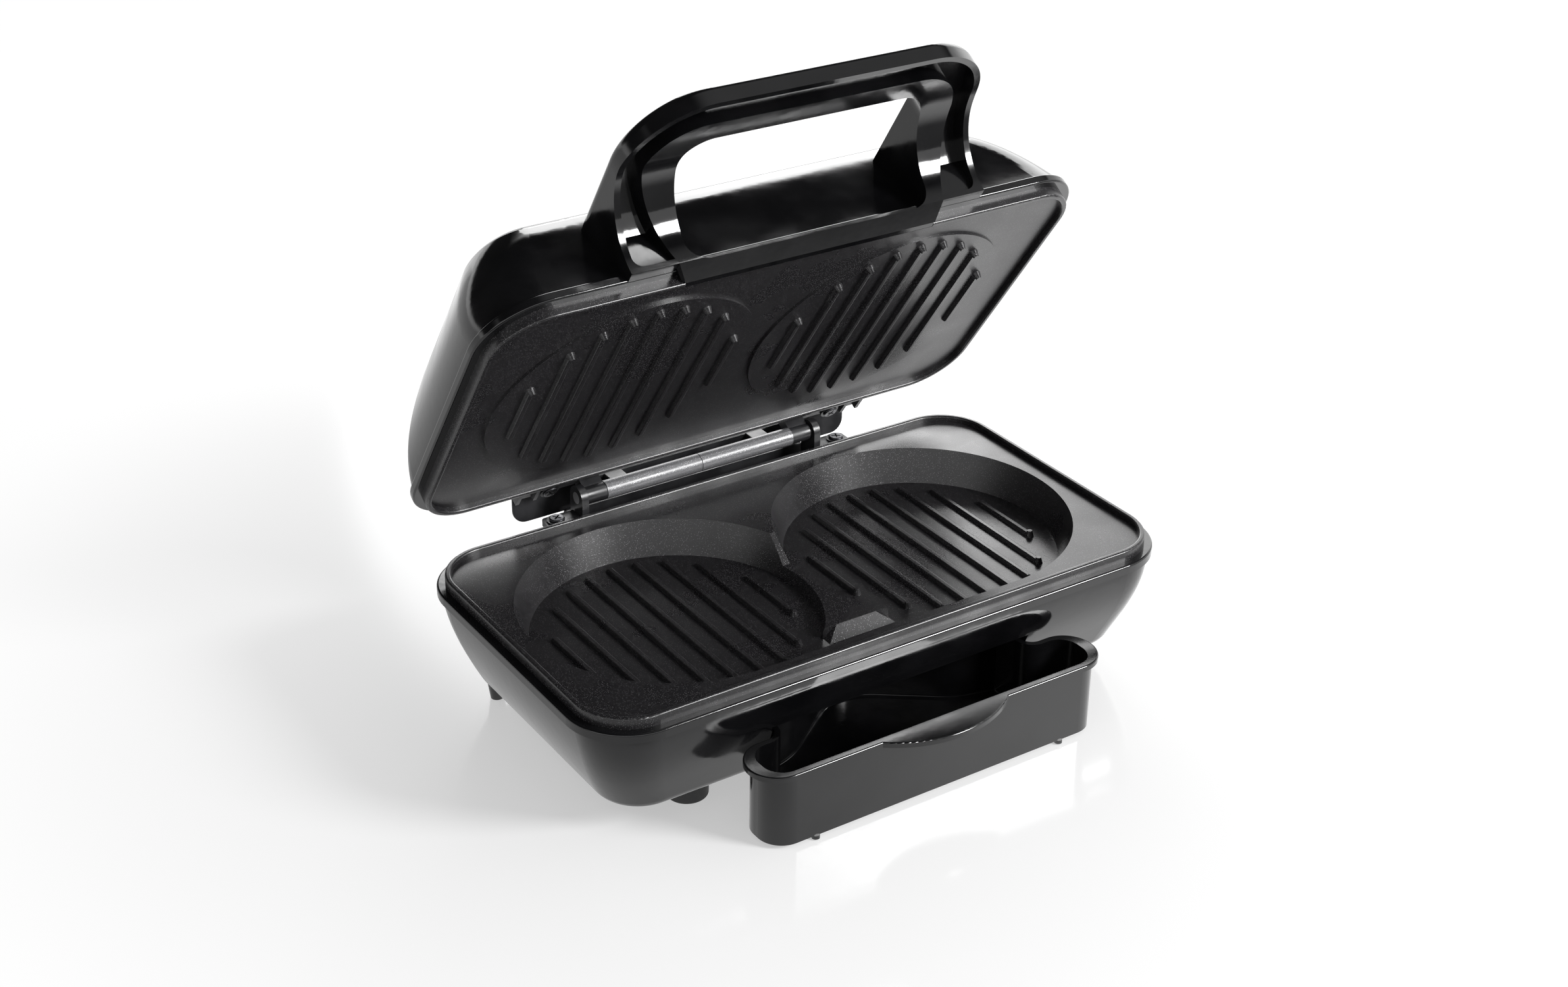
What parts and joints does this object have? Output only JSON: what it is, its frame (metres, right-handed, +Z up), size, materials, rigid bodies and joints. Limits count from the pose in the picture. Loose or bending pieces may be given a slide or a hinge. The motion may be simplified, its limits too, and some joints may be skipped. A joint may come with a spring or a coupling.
{
  "type": "contact grill",
  "caption": "Countertop contact grill with round wells and ribs in its lower plate, a lid on a floating hinge with a loop handle, and a drip tray that slides out in front.",
  "frame": {"origin": "on the table plane, under the middle of the lower plate's outline", "axes": "+X to the right along the hinge line, +Y to the back and the hinge, +Z up"},
  "size_m": [0.2602, 0.2082, 0.2521],
  "materials": {
    "housing": "glossy black moulding",
    "tray": "glossy black moulding",
    "plate": "black non-stick coating with fine speckle",
    "sleeve": "grey-black coating with fine speckle",
    "bracket": "satin black moulding",
    "steel": "plain steel",
    "screw": "black oxide",
    "rubber": "matt black rubber",
    "element": "dull sheathed element",
    "reflector": "plain sheet",
    "ceramic": "unglazed",
    "lens_red": "translucent red",
    "lens_green": "translucent green"
  },
  "bodies": {
    "base": {"base_housing": "housing", "lower_plate": "plate", "lower_heating_element": "element", "lower_reflector": "reflector", "lower_reflector_screws": "steel", "thermostat": "steel", "thermal_fuse": "steel", "terminal_block": "ceramic", "lower_plate_screws": "screw", "front_foot_left": "rubber", "front_foot_right": "rubber", "cord_gland": "rubber", "hinge_guide_left": "bracket", "hinge_guide_right": "bracket", "hinge_cover": "bracket", "base_hinge_screws": "screw"},
    "tray": {"drip_tray": "tray"},
    "hinge_bar": {"hinge_pin": "steel", "hinge_sleeve_left": "sleeve", "hinge_sleeve_right": "sleeve", "hinge_link_left": "bracket", "hinge_link_right": "bracket"},
    "lid": {"lid_housing": "housing", "upper_plate": "plate", "upper_heating_element": "element", "upper_reflector": "reflector", "upper_reflector_screws": "steel", "upper_plate_studs": "steel", "power_lamp_lens": "lens_red", "ready_lamp_lens": "lens_green", "lid_hinge_bracket_left": "bracket", "lid_hinge_bracket_right": "bracket", "lid_hinge_screws": "screw", "lid_handle": "housing", "handle_liner": "housing"}
  },
  "joints": [
    {"name": "tray_slide", "type": "slide", "parent": "base", "child": "tray", "axis": [0, -1, 0], "range_m": [0, 0.075]},
    {"name": "lid_float", "type": "slide", "parent": "base", "child": "hinge_bar", "axis": [0, 0, 1], "range_m": [-0.0078, 0]},
    {"name": "lid_hinge", "type": "hinge", "parent": "hinge_bar", "child": "lid", "pos_m": [0, 0.0755, 0.0613], "axis": [-1, 0, 0], "range_deg": [-54.6, 45]}
  ]
}
